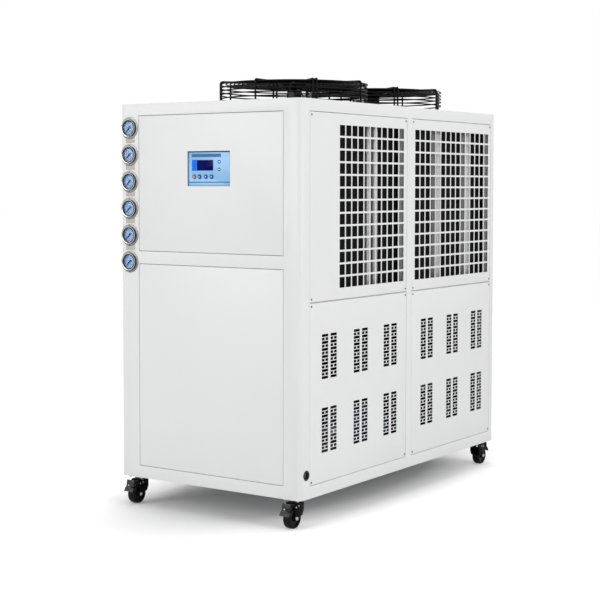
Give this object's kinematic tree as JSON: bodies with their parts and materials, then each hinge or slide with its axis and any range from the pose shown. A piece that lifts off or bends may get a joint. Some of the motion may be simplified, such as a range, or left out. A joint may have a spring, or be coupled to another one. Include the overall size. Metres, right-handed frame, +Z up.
{
  "type": "industrial water chiller",
  "caption": "Air-cooled box water chiller: white sheet-steel cabinet on braked swivel casters, side grilles, top fans in wire guards, a control door and a column of dial gauges.",
  "frame": {"origin": "on the floor, at the centre of the overall bounding box", "axes": "+Z up, -Y towards the front with the doors and gauges, +X towards the right-hand side seen from the front"},
  "size_m": [0.8636, 1.6166, 1.673],
  "materials": {
    "powder_coat": "smooth satin powder coat",
    "galvanised_sheet": "galvanised, faint spangle",
    "zinc_plated": "bright zinc plate",
    "black_rubber": "moulded matt",
    "chrome": "polished",
    "dial_glass": "clear flat glass",
    "label_plate": "satin",
    "black_wire": "gloss dip coat",
    "motor_black": "satin paint",
    "fan_blade": "satin paint",
    "stainless": "brushed",
    "pump_paint": "gloss paint",
    "copper": "drawn copper",
    "pipe_steel": "drawn stainless tube",
    "handle_plastic": "dipped red grip",
    "controller_blue": "printed light blue front",
    "display_navy": "dark display window",
    "key_red": "satin",
    "key_blue": "satin",
    "needle": "matt black",
    "caster_black": "black electrocoat",
    "wheel_black": "hard moulded tread"
  },
  "bodies": {
    "cabinet": {"cabinet_frame": "powder_coat", "base_pan": "galvanised_sheet", "top_cover": "powder_coat", "right_front_grille": "powder_coat", "right_front_vent_panel": "powder_coat", "right_rear_grille": "powder_coat", "right_rear_vent_panel": "powder_coat", "left_front_grille": "powder_coat", "left_front_vent_panel": "powder_coat", "left_rear_grille": "powder_coat", "left_rear_vent_panel": "powder_coat", "rear_upper_panel": "powder_coat", "rear_lower_panel": "powder_coat", "panel_screws": "zinc_plated", "cable_grommet": "black_rubber", "door_hinge_pins": "zinc_plated", "gauge_cases": "chrome", "gauge_lenses": "dial_glass", "gauge_label_plates": "label_plate", "fan_guard_front": "black_wire", "fan_guard_rear": "black_wire", "fan_motors": "motor_black", "condenser_coils": "galvanised_sheet", "electrical_panel": "galvanised_sheet", "water_tank": "stainless", "compressor": "motor_black", "evaporator": "stainless", "water_pump": "pump_paint", "refrigerant_pipes": "copper", "water_pipes": "pipe_steel", "caster_plates": "zinc_plated"},
    "upper_door": {"front_upper_door": "powder_coat", "controller_panel": "controller_blue", "controller_display": "display_navy"},
    "lower_door": {"front_lower_door": "powder_coat"},
    "power_key": {"power_key": "key_red"},
    "up_key": {"up_key": "key_blue"},
    "down_key": {"down_key": "key_blue"},
    "set_key": {"set_key": "key_blue"},
    "gauge_needle_1": {"gauge_needle_1": "needle"},
    "gauge_needle_2": {"gauge_needle_2": "needle"},
    "gauge_needle_3": {"gauge_needle_3": "needle"},
    "gauge_needle_4": {"gauge_needle_4": "needle"},
    "gauge_needle_5": {"gauge_needle_5": "needle"},
    "gauge_needle_6": {"gauge_needle_6": "needle"},
    "fan_front": {"fan_impeller_front": "fan_blade"},
    "fan_rear": {"fan_impeller_rear": "fan_blade"},
    "drain_handle": {"drain_valve_handle": "handle_plastic"},
    "caster_front_left": {"caster_fork_front_left": "caster_black"},
    "wheel_front_left": {"caster_wheel_front_left": "wheel_black"},
    "pedal_front_left": {"brake_pedal_front_left": "caster_black"},
    "caster_front_right": {"caster_fork_front_right": "caster_black"},
    "wheel_front_right": {"caster_wheel_front_right": "wheel_black"},
    "pedal_front_right": {"brake_pedal_front_right": "caster_black"},
    "caster_rear_left": {"caster_fork_rear_left": "caster_black"},
    "wheel_rear_left": {"caster_wheel_rear_left": "wheel_black"},
    "pedal_rear_left": {"brake_pedal_rear_left": "caster_black"},
    "caster_rear_right": {"caster_fork_rear_right": "caster_black"},
    "wheel_rear_right": {"caster_wheel_rear_right": "wheel_black"},
    "pedal_rear_right": {"brake_pedal_rear_right": "caster_black"}
  },
  "joints": [
    {"name": "upper_door_hinge", "type": "hinge", "parent": "cabinet", "child": "upper_door", "pos_m": [0.3465, -0.778, 0.9985], "axis": [0, 0, 1], "range_deg": [0, 110]},
    {"name": "lower_door_hinge", "type": "hinge", "parent": "cabinet", "child": "lower_door", "pos_m": [0.3465, -0.778, 0.157], "axis": [0, 0, 1], "range_deg": [0, 110]},
    {"name": "power_key_press", "type": "slide", "parent": "upper_door", "child": "power_key", "axis": [0, 1, 0], "range_m": [0, 0.0012], "stiffness_N_per_m": 600, "springref_m": -0.0005},
    {"name": "up_key_press", "type": "slide", "parent": "upper_door", "child": "up_key", "axis": [0, 1, 0], "range_m": [0, 0.0012], "stiffness_N_per_m": 600, "springref_m": -0.0005},
    {"name": "down_key_press", "type": "slide", "parent": "upper_door", "child": "down_key", "axis": [0, 1, 0], "range_m": [0, 0.0012], "stiffness_N_per_m": 600, "springref_m": -0.0005},
    {"name": "set_key_press", "type": "slide", "parent": "upper_door", "child": "set_key", "axis": [0, 1, 0], "range_m": [0, 0.0012], "stiffness_N_per_m": 600, "springref_m": -0.0005},
    {"name": "gauge_needle_1_turn", "type": "hinge", "parent": "cabinet", "child": "gauge_needle_1", "pos_m": [-0.38, -0.783, 1.477], "axis": [0, 1, 0], "range_deg": [0, 270]},
    {"name": "gauge_needle_2_turn", "type": "hinge", "parent": "cabinet", "child": "gauge_needle_2", "pos_m": [-0.38, -0.783, 1.3728], "axis": [0, 1, 0], "range_deg": [0, 270]},
    {"name": "gauge_needle_3_turn", "type": "hinge", "parent": "cabinet", "child": "gauge_needle_3", "pos_m": [-0.38, -0.783, 1.2686], "axis": [0, 1, 0], "range_deg": [0, 270]},
    {"name": "gauge_needle_4_turn", "type": "hinge", "parent": "cabinet", "child": "gauge_needle_4", "pos_m": [-0.38, -0.783, 1.1644], "axis": [0, 1, 0], "range_deg": [0, 270]},
    {"name": "gauge_needle_5_turn", "type": "hinge", "parent": "cabinet", "child": "gauge_needle_5", "pos_m": [-0.38, -0.783, 1.0602], "axis": [0, 1, 0], "range_deg": [0, 270]},
    {"name": "gauge_needle_6_turn", "type": "hinge", "parent": "cabinet", "child": "gauge_needle_6", "pos_m": [-0.38, -0.783, 0.956], "axis": [0, 1, 0], "range_deg": [0, 270]},
    {"name": "fan_front_spin", "type": "hinge", "parent": "cabinet", "child": "fan_front", "pos_m": [0, -0.204, 1.57], "axis": [0, 0, 1], "continuous": true},
    {"name": "fan_rear_spin", "type": "hinge", "parent": "cabinet", "child": "fan_rear", "pos_m": [0, 0.413, 1.57], "axis": [0, 0, 1], "continuous": true},
    {"name": "drain_handle_turn", "type": "hinge", "parent": "cabinet", "child": "drain_handle", "pos_m": [-0.26, 0.777, 0.248], "axis": [0, 0, 1], "range_deg": [0, 90]},
    {"name": "swivel_front_left", "type": "hinge", "parent": "cabinet", "child": "caster_front_left", "pos_m": [-0.373, -0.732, 0.11], "axis": [0, 0, 1], "continuous": true},
    {"name": "wheel_front_left_roll", "type": "hinge", "parent": "caster_front_left", "child": "wheel_front_left", "pos_m": [-0.373, -0.756, 0.038], "axis": [1, 0, 0], "continuous": true},
    {"name": "pedal_front_left_press", "type": "hinge", "parent": "caster_front_left", "child": "pedal_front_left", "pos_m": [-0.373, -0.748, 0.087], "axis": [1, 0, 0], "range_deg": [0, 4]},
    {"name": "swivel_front_right", "type": "hinge", "parent": "cabinet", "child": "caster_front_right", "pos_m": [0.373, -0.732, 0.11], "axis": [0, 0, 1], "continuous": true},
    {"name": "wheel_front_right_roll", "type": "hinge", "parent": "caster_front_right", "child": "wheel_front_right", "pos_m": [0.373, -0.756, 0.038], "axis": [1, 0, 0], "continuous": true},
    {"name": "pedal_front_right_press", "type": "hinge", "parent": "caster_front_right", "child": "pedal_front_right", "pos_m": [0.373, -0.748, 0.087], "axis": [1, 0, 0], "range_deg": [0, 4]},
    {"name": "swivel_rear_left", "type": "hinge", "parent": "cabinet", "child": "caster_rear_left", "pos_m": [-0.373, 0.708, 0.11], "axis": [0, 0, 1], "continuous": true},
    {"name": "wheel_rear_left_roll", "type": "hinge", "parent": "caster_rear_left", "child": "wheel_rear_left", "pos_m": [-0.373, 0.732, 0.038], "axis": [1, 0, 0], "continuous": true},
    {"name": "pedal_rear_left_press", "type": "hinge", "parent": "caster_rear_left", "child": "pedal_rear_left", "pos_m": [-0.373, 0.724, 0.087], "axis": [-1, 0, 0], "range_deg": [0, 4]},
    {"name": "swivel_rear_right", "type": "hinge", "parent": "cabinet", "child": "caster_rear_right", "pos_m": [0.373, 0.708, 0.11], "axis": [0, 0, 1], "continuous": true},
    {"name": "wheel_rear_right_roll", "type": "hinge", "parent": "caster_rear_right", "child": "wheel_rear_right", "pos_m": [0.373, 0.732, 0.038], "axis": [1, 0, 0], "continuous": true},
    {"name": "pedal_rear_right_press", "type": "hinge", "parent": "caster_rear_right", "child": "pedal_rear_right", "pos_m": [0.373, 0.724, 0.087], "axis": [-1, 0, 0], "range_deg": [0, 4]}
  ]
}
